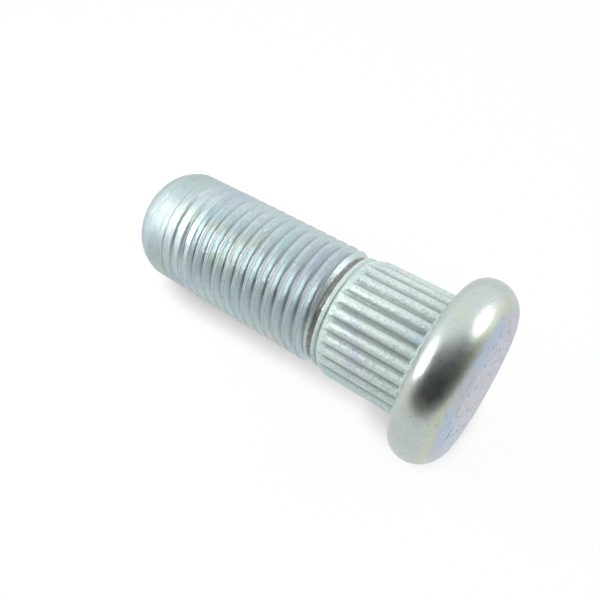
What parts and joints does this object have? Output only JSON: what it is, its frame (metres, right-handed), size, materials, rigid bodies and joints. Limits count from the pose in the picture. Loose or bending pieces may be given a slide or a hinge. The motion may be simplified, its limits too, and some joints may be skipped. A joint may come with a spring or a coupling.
{
  "type": "wheel stud",
  "caption": "One-piece press-in wheel stud with a round pancake head, a splined shank with a lead-in cone, a narrow collar, a fine right-hand thread and a rounded point.",
  "frame": {"origin": "centre of the head's flat outer face, on which the stud stands", "axes": "+Z along the stud's axis, from the head to the threaded point"},
  "size_m": [0.018, 0.018, 0.038],
  "materials": {
    "zinc_plate": "Clear-passivated zinc plating: cool grey-green metal with faint blue and yellow interference tints, satin on the splines and brighter on the head's rim and the thread's flanks"
  },
  "bodies": {
    "root": {"wheel_stud": "zinc_plate"}
  },
  "joints": []
}
